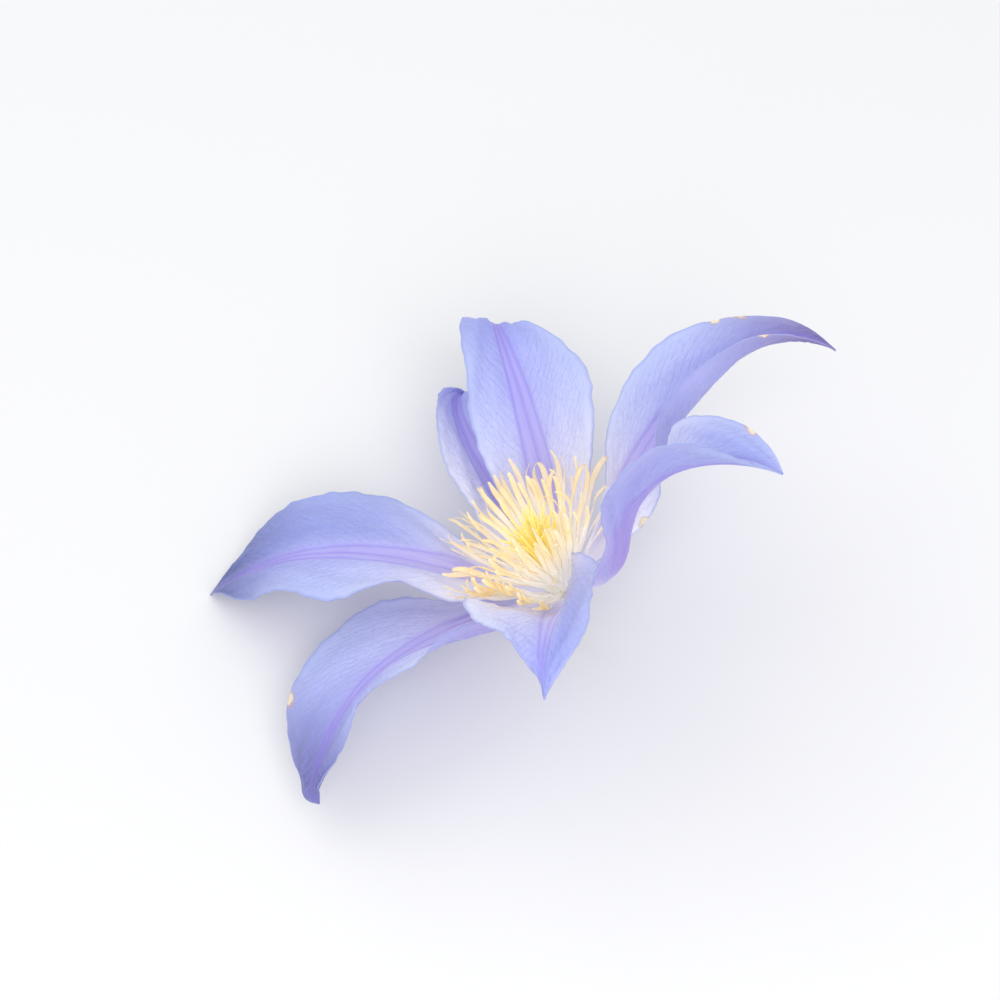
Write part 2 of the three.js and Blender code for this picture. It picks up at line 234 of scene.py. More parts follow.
def half_blade(half, sign, u, x, points, side, up, random):
    """Grid of a half blade and each point's distance from the midrib. Each row is a walk sideways
    whose slope is the fold, rounded at the midrib, plus the curl times the share x walked so far.
    The margin's wave, and its finer crisping by chance, are added square to the blade."""
    fold = np.radians(smooth_curve(half["fold"], u))[:, None]
    curl = np.radians(smooth_curve(half.get("curl", LEVEL), u))[:, None]
    width = half_width(half, u) * (1 + WIDTH_CHANCE * ripple(u, WIDTH_COUNTS, random))
    middles = (x[1:] + x[:-1]) / 2
    slope = fold * np.minimum(1, middles / CREASE) + curl * middles
    strides = np.diff(x) * width[:, None]
    start = np.zeros((len(u), 1))
    out = np.concatenate([start, np.cumsum(np.cos(slope) * strides, 1)], 1)
    rise = np.concatenate([start, np.cumsum(np.sin(slope) * strides, 1)], 1)
    height, count, begin = half.get("wave", (WAVE_HEIGHT, WAVES, WAVE_START if sign > 0 else 0))
    calm_ends = np.sqrt(np.maximum(0, np.sin(np.pi * u)))
    wave = height * np.sin(2 * np.pi * (count * u + begin)) * calm_ends
    crisp = CRISP_HEIGHT * ripple(u, CRISP_COUNTS, random) * calm_ends
    lifted = wave[:, None] * x ** 2 + crisp[:, None] * x ** 6
    end = fold * np.minimum(1, x / CREASE) + curl * x
    sideways = sign * (out - np.sin(end) * lifted)
    upward = rise + np.cos(end) * lifted
    grid = points[:, None] + side[:, None] * sideways[..., None] + up[:, None] * upward[..., None]
    return grid, sign * x * width[:, None]


def sepal_surface(sepal, u, x):
    """A sepal's middle surface, each point's distance from the midrib, and the source of chance for
    what follows. The midrib is a walk, each row spreads from it to both margins at the shares x, and
    up is square to the blade on its inner face."""
    random = np.random.default_rng(sepal["seed"])
    lift = np.radians(smooth_curve(sepal["lift"], u))
    sweep = smooth_curve(sepal.get("sweep", LEVEL), u)
    sweep = sweep + sepal.get("hook", 0) * smooth_step(HOOK_START, 1, u)
    azimuth = np.radians(sepal["azimuth"] + sweep)
    roll = np.radians(smooth_curve(sepal.get("roll", LEVEL), u))[:, None]
    seat = math.radians(sepal["seat"])
    start = (SEAT_RADIUS * math.cos(seat), SEAT_RADIUS * math.sin(seat), SEAT_HEIGHT)
    midrib, forward = walk(start, sepal["length"], lift, azimuth)
    level_side = np.stack([-np.sin(azimuth), np.cos(azimuth), np.zeros_like(azimuth)], -1)
    side = level_side * np.cos(roll) + np.cross(forward, level_side) * np.sin(roll)
    up = np.cross(forward, side)
    right, right_out = half_blade(sepal["clockwise"], -1, u, x, midrib, side, up, random)
    left, left_out = half_blade(sepal["anticlockwise"], 1, u, x, midrib, side, up, random)
    grid = np.concatenate([right[:, :0:-1], left], 1)
    distance = np.concatenate([right_out[:, :0:-1], left_out], 1)
    return grid, distance, random


def grid_normals(grid):
    """Unit normals of a grid: the cross product of its slopes along and across."""
    return unit(np.cross(np.gradient(grid, axis=0), np.gradient(grid, axis=1)))


def grid_quads(rows, columns):
    """Corner numbers of the quads of a grid, in the order that faces its normals."""
    a = (np.arange(rows - 1)[:, None] * columns + np.arange(columns - 1)).ravel()
    return np.stack([a, a + columns, a + columns + 1, a + 1], 1)


def rim_quads(rows, columns, back):
    """Quads that close the rim between a grid and its copy whose numbers start at back."""
    first = np.arange(rows - 1) * columns
    last = (rows - 1) * columns + np.arange(columns - 1)
    up = (np.arange(rows - 1, 0, -1)) * columns + columns - 1
    rim = np.concatenate([first, last, up, np.arange(columns - 1, 0, -1)])
    following = np.roll(rim, -1)
    return np.stack([following, rim, back + rim, back + following], 1)


def new_piece(name, points, faces, material, values=None, maps=None):
    """A smooth mesh object of points and faces, with per-point values as attributes and UV maps."""
    mesh = bpy.data.meshes.new(name)
    mesh.from_pydata(points.tolist(), [], faces)
    mesh.polygons.foreach_set("use_smooth", np.ones(len(faces), bool))
    for label, numbers in (values or {}).items():
        layer = mesh.attributes.new(label, "FLOAT", "POINT")
        layer.data.foreach_set("value", np.ascontiguousarray(numbers, np.float32).ravel())
    corners = np.empty(len(mesh.loops), np.int32)
    mesh.loops.foreach_get("vertex_index", corners)
    for label, places in (maps or {}).items():
        layer = mesh.uv_layers.new(name=label)
        layer.data.foreach_set("uv", places[corners].astype(np.float32).ravel())
    mesh.materials.append(material)
    mesh.update()
    piece = bpy.data.objects.new(name, mesh)
    bpy.context.scene.collection.objects.link(piece)
    return piece


class Wire:
    """A number that a node gives. Sums with it add Math nodes to its material."""

    def __init__(self, paint, socket):
        self.paint, self.socket = paint, socket

    def maths(self, operation, *others):
        """The Math node of that operation, on this number and the others."""
        numbers = {i: other for i, other in enumerate((self, *others))}
        return self.paint.node("ShaderNodeMath", dict(operation=operation), numbers)

    def flipped(self, operation, other):
        """The same, with the other number first."""
        return self.paint.node("ShaderNodeMath", dict(operation=operation), {0: other, 1: self})

    def __add__(self, other):
        return self.maths("ADD", other)

    def __radd__(self, other):
        return self.maths("ADD", other)

    def __sub__(self, other):
        return self.maths("SUBTRACT", other)

    def __rsub__(self, other):
        return self.flipped("SUBTRACT", other)

    def __mul__(self, other):
        return self.maths("MULTIPLY", other)

    def __rmul__(self, other):
        return self.maths("MULTIPLY", other)

    def __truediv__(self, other):
        return self.maths("DIVIDE", other)

    def __pow__(self, other):
        return self.maths("POWER", other)

    def __abs__(self):
        return self.maths("ABSOLUTE")

    def __neg__(self):
        return self.maths("MULTIPLY", -1)

    def step(self, low, high):
        """0 at low and 1 at high, and smooth between them. low may be the greater."""
        settings = dict(interpolation_type="SMOOTHSTEP")
        if low < high:
            return self.paint.node("ShaderNodeMapRange", settings, {0: self, 1: low, 2: high})
        return self.paint.node("ShaderNodeMapRange", settings, {0: self, 1: high, 2: low, 3: 1, 4: 0})

    def bell(self, width):
        """The bell curve: e to the power of minus the square of this number over the width."""
        share = self / width
        return (-(share * share)).maths("EXPONENT")


class Paint:
    """A material's node tree. node() is the one way in which nodes are added to it."""

    def __init__(self, name):
        self.material = bpy.data.materials.new(name)
        self.material.use_nodes = True
        self.tree = self.material.node_tree
        self.tree.nodes.clear()

    def node(self, kind, settings=None, inputs=None, output=0):
        """Adds a node, sets it, fills its sockets with values or wires, and gives one output."""
        made = self.tree.nodes.new(kind)
        for key, value in (settings or {}).items():
            setattr(made, key, value)
        for key, value in (inputs or {}).items():
            if isinstance(value, Wire):
                self.tree.links.new(value.socket, made.inputs[key])
            else:
                made.inputs[key].default_value = value
        return None if output is None else Wire(self, made.outputs[output])

    def mix(self, share, first, second, kind="MIX"):
        """Two colours mixed, or laid over each other, by a share."""
        settings = dict(data_type="RGBA", blend_type=kind, clamp_factor=True)
        return self.node("ShaderNodeMix", settings, {0: share, 6: first, 7: second}, output=2)

    def noise(self, places, scale, detail=2.0, roughness=0.5):
        """Smooth noise from about -0.5 to 0.5."""
        inputs = {"Vector": places, "Scale": scale, "Detail": detail, "Roughness": roughness}
        return self.node("ShaderNodeTexNoise", {}, inputs) - 0.5

    def value(self, name):
        """A value of the mesh's own attribute."""
        return self.node("ShaderNodeAttribute", dict(attribute_name=name), output="Fac")

    def surface(self, shader):
        """Ends the tree with the shader, and gives the material."""
        self.node("ShaderNodeOutputMaterial", {}, {"Surface": shader}, output=None)
        return self.material


def colour(red, green, blue):
    """A colour given as screen values of 0 to 255, as the linear light that shaders reckon in."""
    shares = np.array([red, green, blue]) / 255
    linear = np.where(shares <= 0.04045, shares / 12.92, ((shares + 0.055) / 1.055) ** 2.4)
    return (*linear.tolist(), 1.0)


PERIWINKLE = colour(184, 190, 234)
MARGIN_BLUE = colour(174, 188, 232)
OUTER_GREY = colour(156, 164, 220)  # towards the tip
# painted shade: a darker blue laid on the half of a sepal that faces away from the light
PAINTED_SHADE_BLUE = colour(124, 136, 196)
# the sepals' own pale base, whitened further as painted light where the base lies in shade
PALE_BASE_AND_PAINTED_LIGHT = colour(246, 242, 252)
BAR_LILAC = colour(172, 162, 222)
TIP_VIOLET = colour(140, 126, 196)  # of the bar near the tip
VEIN_VIOLET = colour(136, 118, 214)
SIDE_VEIN = colour(138, 140, 210)
MARGIN_LINE = colour(138, 152, 208)
UNDERSIDE = colour(156, 158, 210)
UNDERSIDE_ROSE = colour(178, 160, 212)
KEEL = colour(150, 128, 194)
SCAR = colour(226, 208, 166)
SCAR_EDGE = colour(176, 136, 92)
CLOUD_TINT = colour(228, 230, 246)
WHITE = colour(255, 255, 255)


def sepal_material(name, tip_colour, pale_and_painted_light_until, shaded_half, bar_share, scars):
    """Satiny blade. Colours go by the share across and along, and the vein lines by distances in
    millimetres: three bells for the main veins, and side veins at whole numbers of a slanted phase.
    Between them a stretched cell pattern makes the fine net. The pale base fades out at
    pale_and_painted_light_until, a share of the length; it is partly the blade's own paler base and partly
    painted light on parts in shade. dusk says which half gets painted shade, by its sign, and how dark it
    is. bar_share is how strong the violet bars are. Faint emission stands for light that the thin blade lets
    through."""
    paint = Paint(name)
    shares = paint.node("ShaderNodeUVMap", dict(uv_map="blade"))
    flat = paint.node("ShaderNodeUVMap", dict(uv_map="flat"))
    inner = paint.value("inner")
    across = paint.node("ShaderNodeSeparateXYZ", {}, {0: shares}, output=0) * 2 - 1
    along = paint.node("ShaderNodeSeparateXYZ", {}, {0: shares}, output=1)
    wander = paint.noise(flat, 9.0, 2.0)
    out_from_rib = paint.node("ShaderNodeSeparateXYZ", {}, {0: flat}, output=0) * FLAT_MM + wander * 0.7
    length = paint.node("ShaderNodeSeparateXYZ", {}, {0: flat}, output=1) * FLAT_MM
    distance = abs(out_from_rib)
    spread = (1 - along) * along.step(0.0, VEINS_PART) * VEIN_SPREAD
    fading = along.step(1.0, 0.7) * 0.6 + 0.4
    midrib = out_from_rib.bell(MIDRIB_LINE) * fading
    outer_veins = (distance - spread).bell(VEIN_LINE) * fading
    vein_lines = midrib.maths("MAXIMUM", outer_veins) * (wander * 0.8 + 0.8)
    bars = (distance - spread).step(1.9, -0.9) * along.step(0.02, 0.25) * along.step(1.1, 0.85)
    streaks_at = paint.node("ShaderNodeMapping", {}, {"Vector": flat, "Scale": (150.0, 9.0, 1.0)})
    streaks = paint.noise(streaks_at, 1.0, 3.0)
    clouds = paint.noise(flat, 6.0, 3.0, 0.6)
    fine = paint.noise(flat, 60.0, 3.0, 0.6)

    phase = (length - distance ** PUCKER_BEND * PUCKER_SLANT) / PUCKER_SPACING + wander * 2.2 + fine * 0.25
    line = abs(phase.maths("FRACT") - 0.5).step(0.3, 0.5)
    reach = (distance - spread).step(0.0, 1.2) * abs(across).step(1.0, 0.75) * along.step(0.04, 0.2)
    side_veins = line * reach * (clouds + 0.3).step(0.0, 0.5)
    cells = paint.node("ShaderNodeCombineXYZ", {}, {0: phase * 2.4, 1: distance / 1.05, 2: 0.0})
    edges = dict(feature="DISTANCE_TO_EDGE")
    net = paint.node("ShaderNodeTexVoronoi", edges, {"Vector": cells, "Scale": 1.0}).step(0.16, 0.0) * reach

    face = paint.mix(abs(across).step(0.3, 1.0) * 0.7, PERIWINKLE, MARGIN_BLUE)
    face = paint.mix(along.step(0.45, 1.0) * 0.75, face, OUTER_GREY)
    # pale base: the blade's own paler colour near the claw, and painted light that brightens parts in shade
    face = paint.mix(along.step(pale_and_painted_light_until, 0.05) * 0.95, face, PALE_BASE_AND_PAINTED_LIGHT)
    # painted shade: one half of the blade is darkened where it faces away from the light
    face = paint.mix((across * shaded_half).step(0.0, 0.25) * along.step(0.1, 0.5) * abs(shaded_half), face, PAINTED_SHADE_BLUE)
    tip_share = along.step(0.62, 0.95) * 0.85
    face = paint.mix(tip_share, face, tip_colour)
    shade = (distance - spread).bell(4.0) * along.step(0.15, 0.5) * along.step(1.0, 0.6)
    face = paint.mix(shade * (clouds * 1.3 + 0.2), face, SIDE_VEIN)
    bar_colour = paint.mix(along.step(0.6, 0.95), BAR_LILAC, TIP_VIOLET)
    face = paint.mix(bars * (streaks * 1.1 + 0.7) * bar_share, face, bar_colour)
    face = paint.mix(vein_lines * 0.4 * along.step(0.0, 0.35), face, VEIN_VIOLET)
    face = paint.mix((side_veins * 0.3 + net * 0.22) * along.step(0.1, 0.45), face, SIDE_VEIN)
    under = paint.mix(along.step(0.5, 0.1) * 0.55, UNDERSIDE, UNDERSIDE_ROSE)
    under = paint.mix(tip_share, under, tip_colour)
    under = paint.mix(bars * 0.6, under, KEEL)
    under = paint.mix(vein_lines * 0.3, under, VEIN_VIOLET)
    under = paint.mix(side_veins * 0.2 + net * 0.2, under, SIDE_VEIN)
    under = paint.mix(along.step(0.2, 0.0) * 0.5, under, PALE_BASE_AND_PAINTED_LIGHT)
    body = paint.mix(inner, under, face)
    body = paint.mix(abs(across).step(0.93, 1.0) * 0.6, body, MARGIN_LINE)
    tint = paint.mix((clouds + streaks * 0.7) * 0.9 + 0.5, CLOUD_TINT, WHITE)
    body = paint.mix(1.0, body, tint, kind="MULTIPLY")
    for scar_across, scar_along, size in scars:
        near = ((across - scar_across) * 7) ** 2 + ((along - scar_along) * 42) ** 2
        spot = near.maths("SQRT") + fine * 1.6 + wander
        body = paint.mix(spot.step(size * 1.5, size * 0.9) * 0.5, body, SCAR_EDGE)
        body = paint.mix(spot.step(size * 1.1, size * 0.4) * 0.9, body, SCAR)

    ridges = vein_lines * 0.4 + side_veins * 0.4 + net * 0.25
    height = ridges * (1 - 2 * inner) + streaks * 0.4 + fine * 0.4
    bump = paint.node("ShaderNodeBump", {}, {"Strength": 0.5, "Distance": 0.0003, "Height": height})
    shader = paint.node("ShaderNodeBsdfPrincipled", {}, {
        "Base Color": body,
        "Roughness": 0.6 + streaks * 0.15,
        "Normal": bump,
        "IOR": 1.4,
        "Subsurface Weight": 0.4,
        "Subsurface Radius": (1.0, 0.9, 1.2),
        "Subsurface Scale": 0.0018,
        "Sheen Weight": 0.12,
        "Sheen Roughness": 0.4,
        "Emission Color": body,
        "Emission Strength": 0.1,
    })
    return paint.surface(shader)


def sepal_blade(node, sepal, material):
    """A sepal with its relief. Puckers between the side veins lift the blade by the sine of the phase
    that those veins have, unevenly by chance, and long billows by a ripple. The main veins are
    bell-shaped grooves above and ribs below. The blade thins out towards its margins."""
    u = np.linspace(0, 1, BLADE_ROWS + 1)
    near = np.linspace(0, MIDRIB_SHARE, MIDRIB_COLUMNS)
    x = np.concatenate([near, np.linspace(MIDRIB_SHARE, EDGE_SHARE, OUTER_COLUMNS)[1:], [1]])
    grid, distance, random = sepal_surface(sepal, u, x)
    share = np.concatenate([-x[:0:-1], x])

    along = np.broadcast_to(u[:, None], distance.shape)
    spread = VEIN_SPREAD * (1 - along) * smooth_step(0, VEINS_PART, along)
    away = np.abs(distance)
    phase = (along * sepal["length"] - PUCKER_SLANT * away ** PUCKER_BEND) / PUCKER_SPACING
    phase += 0.5 * ripple(along + 0.3 * share, PUCKER_COUNTS, random)
    reach = smooth_step(0, 1.2, away - spread) * smooth_step(0, 0.2, 1 - np.abs(share))
    calm_base = smooth_step(0.02, 0.2, along) * smooth_step(0, 0.1, 1 - along)
    uneven = 0.6 + 0.5 * ripple(along - 0.4 * share, UNEVEN_COUNTS, random)
    puckers = PUCKER_HEIGHT * np.abs(np.sin(np.pi * phase)) ** 0.8 * uneven * reach * calm_base
    billows = BILLOW_HEIGHT * ripple(along + 0.5 * share, BILLOW_COUNTS, random)
    billows = billows * smooth_step(0.1, 0.6, np.abs(share))
    lifted = puckers + billows * calm_base
    grid = grid + grid_normals(grid) * lifted[..., None]
    normals = grid_normals(grid)

    veins = np.exp(-(away / VEIN_WIDTH) ** 2) + np.exp(-((away - spread) / VEIN_WIDTH) ** 2)
    veins = np.minimum(veins, 1) * smooth_step(0, 0.12, along) * smooth_step(0, 0.15, 1 - along)
    thin = smooth_step(0.2, 1, np.abs(share))
    half_thickness = (MIDDLE_THICKNESS + (MARGIN_THICKNESS - MIDDLE_THICKNESS) * thin) / 2
    inner = grid + normals * (half_thickness - GROOVE_DEPTH * veins)[..., None]
    under = grid - normals * (half_thickness + RIB_HEIGHT * veins)[..., None]

    rows, columns = distance.shape
    back = rows * columns
    front_quads = grid_quads(rows, columns)
    faces = np.concatenate([front_quads, back + front_quads[:, ::-1], rim_quads(rows, columns, back)])
    points = laid(np.concatenate([inner.reshape(-1, 3), under.reshape(-1, 3)]))
    shares = np.stack([(np.broadcast_to(share, distance.shape) + 1) / 2, along], -1).reshape(-1, 2)
    flat = np.stack([distance, along * sepal["length"]], -1).reshape(-1, 2) / FLAT_MM
    facing_in = np.concatenate([np.ones(back), np.zeros(back)])
    name = node.replace("sepal_", "") + "_sepal"
    maps = dict(blade=np.tile(shares, (2, 1)), flat=np.tile(flat, (2, 1)))
    piece = new_piece(name, points, faces.tolist(), material, dict(inner=facing_in), maps)
    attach(piece, "root")
    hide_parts(node)
    return piece


# The colour of the tip, the share of the length at which the pale base ends (partly the sepal's own
# paler base, partly painted light on parts in shade), the half with painted shade (its sign, above 0
# for the anticlockwise half, and how dark it is) and the strength of the bars.
FACES = {
    "sepal_back": (colour(150, 158, 226), 0.62, 0, 1),
    "sepal_back_left": (colour(156, 164, 226), 1.0, 0, 1),
    "sepal_left": (colour(86, 96, 134), 0.62, -0.6, 1),
    "sepal_left_front": (colour(90, 90, 134), 0.68, 0, 1),
    "sepal_front": (colour(158, 168, 230), 1.1, 0.6, 0.5),
    "sepal_right_front": (colour(160, 172, 218), 1.0, 0, 1),
    "sepal_right": (colour(112, 98, 136), 0.55, 0, 1),
}
# Small withered spots on the margins: the share across, from -1 to 1, the share along, and the size.
SCARS = {
    "sepal_right": ((1.0, 0.77, 0.6), (1.0, 0.72, 0.4), (-1.0, 0.8, 0.5), (-1.0, 0.23, 0.6)),
    "sepal_right_front": ((1.0, 0.88, 0.9),),
    "sepal_left_front": ((-1.0, 0.76, 0.6),),
}
for node, sepal in SEPALS.items():
    material = sepal_material(node.replace("sepal_", "") + "_blade", *FACES[node], SCARS.get(node, ()))
    sepal_blade(node, sepal, material)


# ---------------------------------------------------------------------------------------------
# The stamens. Each is a flat, soft, waved cream filament that ends in a blunt yellow anther with a
# hooked tip. They grew side by side in rings on the receptacle, steep inside and leaning outside.

STAMENS = 80
STAMEN_ROWS = 30
STAMEN_ROOT = dict(radius=2.2, spread=1.2, height=0.3)
STAMEN_LENGTH = 24.8
INNER_SHORTENING = 0.14  # share of that length that the innermost ones lack
INNER_LIFT = 72
OUTER_LIFT = 44
# Azimuth, sharpness and rise of the lobes in which the outer stamens stand higher or lower.
LIFT_LOBES = ((204, 24, 2), (228, 20, 11), (257, 24, -9), (294, 20, 13), (332, 14, -8), (50, 4, 6))
STAMEN_DROOP = 2
# Low stamens in front: how many, their first and last azimuths, their roots' radius, how far below
# the outer ones they start, how much they rise, and how long they are.
SKIRT = dict(count=26, start=194, end=256, radius=3.5, below=11, rise=12, length=22.5)
GOLDEN_ANGLE = math.pi * (3 - math.sqrt(5))
FILAMENT_WIDTHS = (0.42, 0.62, 0.78, 0.86, 0.86, 0.8, 0.72, 0.64, 0.6, 0.62, 0.6, 0.52, 0.3)
FILAMENT_SECTION = np.array([
    (1, 0.05), (0.8, 0.3), (0.3, 0.14), (-0.3, 0.14), (-0.8, 0.3), (-1, 0.05), (-0.7, -0.26), (0, -0.36),
    (0.7, -0.26),
])
FILAMENT_THICKNESS = 0.4  # of the half width
UPRIGHT_ROOT = 85  # lift of the very root, which fades over the next share of the length
ROOT_SHARE = 0.1
# What chance gives a stamen at most, in degrees: a bend up, waves up, a turn aside and waves aside.
BEND = 9
WAVE_UP = 8
TURN_ASIDE = 8
WAVE_ASIDE = 11
HOOK = dict(least=15, chance=55, aside=38, start=0.8, start_chance=0.1)
LENGTH_CHANCE = dict(ring=0.06, low=0.08)
TWIST = 60
TWIST_WAVE = 14
WIDTH_SPREAD = 0.16
WIDTH_WAVE = 0.1


def lobe(azimuth, middle, sharpness):
    """A power of the cosine of the angle from the lobe's middle, and 0 on the far side."""
    return np.maximum(0, np.cos(azimuth - math.radians(middle))) ** sharpness


def tubes(points, forward, side, section, widths, depths, twist):
    """Closed tubes along many walks at once: the section, scaled by width and depth, stands square
    to each walk and turns by twist about it. Shapes are (tubes, rows, sides, 3)."""
    up = np.cross(forward, side)
    cosine, sine = np.cos(twist)[..., None], np.sin(twist)[..., None]
    across = side * cosine + up * sine
    above = up * cosine - side * sine
    wide = section[:, 0] * widths[..., None]
    deep = section[:, 1] * depths[..., None]
    return (points[..., None, :] + across[..., None, :] * wide[..., None]
            + above[..., None, :] * deep[..., None])


def tube_faces(count, rows, sides):
    """Quads round each tube, with a many-sided face at both ends."""
    start = np.arange(count)[:, None, None] * rows * sides
    row = np.arange(rows - 1)[None, :, None] * sides
    here = np.arange(sides)
    there = (here + 1) % sides
    a = (start + row + here).ravel()
    b = (start + row + there).ravel()
    quads = np.stack([a, b, b + sides, a + sides], 1).tolist()
    first = start[:, 0] + here[::-1]
    last = start[:, 0] + (rows - 1) * sides + here
    return quads + first.tolist() + last.tolist()


CREAM = colour(255, 254, 250)
PALE_YELLOW = colour(255, 243, 196)
ANTHER_YELLOW = colour(251, 216, 108)
# brown of the painted shade along the filaments' edges, and of the pollen grains on the anthers
SHADE_AND_POLLEN_BROWN = colour(228, 168, 118)


def stamen_material():
    """Cream-white at the root and yellow towards the tip, with painted shade as thin brownish lines along
    both edges, grainy pollen on the anther, and a faint painted glow that lifts the shade among the
    filaments."""
    paint = Paint("stamen_cream_and_yellow")
    along = paint.value("along")
    edge = paint.value("edge")
    chance = paint.value("chance")
    places = paint.node("ShaderNodeTexCoord", output="Object")
    grain = paint.noise(places, 1500.0, 3.0)
    blotches = paint.noise(places, 260.0, 3.0)
    yellowing = along + chance * 0.18 + blotches * 0.3
    body = paint.mix(yellowing.step(0.4, 0.85) * 0.85, CREAM, PALE_YELLOW)
    body = paint.mix((along + blotches * 0.2).step(0.6, 0.85) * 0.7, body, ANTHER_YELLOW)
    # painted shade: brownish lines along both edges, where neighbouring filaments shade each other
    body = paint.mix((edge + blotches * 0.5).step(0.7, 1.0) * (0.3 + 0.45 * along), body, SHADE_AND_POLLEN_BROWN)
    dusted = along.step(0.6, 0.75)
    body = paint.mix(dusted * (grain + 0.35).step(0.4, 0.7) * 0.3, body, SHADE_AND_POLLEN_BROWN)
    bump = paint.node("ShaderNodeBump", {}, {
        "Strength": 0.4, "Distance": 0.0002, "Height": dusted * grain + grain * 0.2,
    })
    shader = paint.node("ShaderNodeBsdfPrincipled", {}, {
        "Base Color": body,
        "Roughness": 0.55 + grain * 0.2,
        "Normal": bump,
        "Subsurface Weight": 0.6,
        "Subsurface Radius": (1.0, 1.0, 0.9),
        "Subsurface Scale": 0.003,
        # painted glow: faint emission that lifts the shade among the crowded filaments
        "Emission Color": body,
        "Emission Strength": 0.12,
    })
    return paint.surface(shader)


def stamen_walks():
    """Stamens turned round the axis by the golden angle, and a row of low ones in front. Each is a
    walk that starts at its root's lift, droops or rises, bends and sways by chance, and hooks up
    or over near its end. The lobes raise or lower the outer ones at some azimuths."""
    random = np.random.default_rng(17)
    k = np.arange(STAMENS + SKIRT["count"])
    low = (k >= STAMENS)[:, None]
    outward = np.minimum(1, (k + 0.5) / STAMENS)[:, None]
    low_azimuth = np.radians(np.interp(k, (STAMENS, k[-1]), (SKIRT["start"], SKIRT["end"])))[:, None]
    azimuth = np.where(low, low_azimuth, (k * GOLDEN_ANGLE)[:, None])
    u = np.linspace(0, 1, STAMEN_ROWS + 1)[None, :]
    chance = random.random((11, len(k), 1)) * 2 - 1
    lobes = sum(rise * lobe(azimuth, middle, sharp) for middle, sharp, rise in LIFT_LOBES)
    outer_lift = OUTER_LIFT + lobes
    low_lift = outer_lift - SKIRT["below"]
    root_lift = np.where(low, low_lift, INNER_LIFT + (outer_lift - INNER_LIFT) * outward)
    lift = root_lift + np.where(low, SKIRT["rise"], -STAMEN_DROOP) * u + BEND * chance[1] * u ** 2
    lift = lift + np.where(low, 0, UPRIGHT_ROOT - root_lift) * smooth_step(ROOT_SHARE, 0, u)
    lift = lift + WAVE_UP * np.sin(2 * np.pi * (1.2 * u + chance[2])) * u
    hook = np.where(low, 1, np.sign(chance[0] + 0.3)) * (HOOK["least"] + HOOK["chance"] * np.abs(chance[0]))
    begins = HOOK["start"] + HOOK["start_chance"] * chance[9]
    lift = lift + hook * smooth_step(begins, 1, u)
    sway = TURN_ASIDE * chance[3] * u + WAVE_ASIDE * np.sin(2 * np.pi * (1.4 * u + chance[4])) * u
    sway = sway + HOOK["aside"] * chance[5] * smooth_step(begins, 1, u)
    heading = azimuth + np.radians(sway)
    radius = np.where(low, SKIRT["radius"], STAMEN_ROOT["radius"] + STAMEN_ROOT["spread"] * outward)
    height = np.full_like(radius, STAMEN_ROOT["height"])
    root = np.concatenate([radius * np.cos(azimuth), radius * np.sin(azimuth), height], 1)
    ring_length = STAMEN_LENGTH * (1 - INNER_SHORTENING * (1 - outward) + LENGTH_CHANCE["ring"] * chance[6])
    low_length = SKIRT["length"] * (1 + LENGTH_CHANCE["low"] * chance[6])
    length = np.where(low, low_length, ring_length)[:, 0]
    points, forward = walk(root, length, np.radians(lift), heading)
    side = np.stack([-np.sin(heading), np.cos(heading), np.zeros_like(heading)], -1)
    side = unit(side - forward * (side * forward).sum(-1, keepdims=True))
    return dict(points=points, forward=forward, side=side, u=u, chance=chance)


def stamen_crown():
    """The filaments: ribbons along the walks, which twist a little by chance. Their widths wave."""
    walks = stamen_walks()
    u, chance = walks["u"], walks["chance"]
    even = np.linspace(0, 1, len(FILAMENT_WIDTHS))
    waved = 1 + WIDTH_SPREAD * chance[7] + WIDTH_WAVE * np.sin(2 * np.pi * (2.6 * u + chance[10]))
    widths = np.interp(u[0], even, FILAMENT_WIDTHS) * waved
    twist_wave = TWIST_WAVE * np.sin(2 * np.pi * (1.7 * u + chance[10]))
    twist = np.radians(TWIST * chance[8] * u ** 1.5 + twist_wave)
    depths = FILAMENT_THICKNESS * np.minimum(widths, 0.55)
    grid = tubes(walks["points"], walks["forward"], walks["side"], FILAMENT_SECTION, widths, depths, twist)
    count, rows, sides = grid.shape[:3]
    values = dict(
        along=np.broadcast_to(u[..., None], (count, rows, sides)),
        edge=np.broadcast_to(np.abs(FILAMENT_SECTION[:, 0]), (count, rows, sides)),
        chance=np.broadcast_to(chance[7][..., None], (count, rows, sides)),
    )
    piece = new_piece("stamen_crown", laid(grid.reshape(-1, 3)), tube_faces(count, rows, sides),
                      stamen_material(), values)
    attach(piece, "root")
    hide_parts("stamens")


stamen_crown()


# ---------------------------------------------------------------------------------------------
# The styles. A dense tuft of thin golden styles, each of which grew from an ovary on the small
# dome in the middle of the receptacle, and bends outward at its tip.

STYLES = 60
STYLE_ROWS = 16
STYLE_ROOT = dict(radius=1.25, height=0.3)
STYLE_LENGTH = 18.0
STYLE_HALF_WIDTH = 0.36
STYLE_SIDES = 6
STYLE_SPREAD = 12
STYLE_DROOP = 8
STYLE_TIP_BEND = 50
STYLE_TIP_START = 0.65
STYLE_WAVE = 9
STYLE_SWAY = 30
STYLE_LENGTHS = (0.88, 0.12)  # the middle share of the length, and how much chance changes it
STYLE_PALE = colour(254, 243, 184)
STYLE_GOLD = colour(253, 232, 140)
STYLE_TIP = colour(254, 238, 160)
STYLE_GRAIN = colour(238, 192, 96)


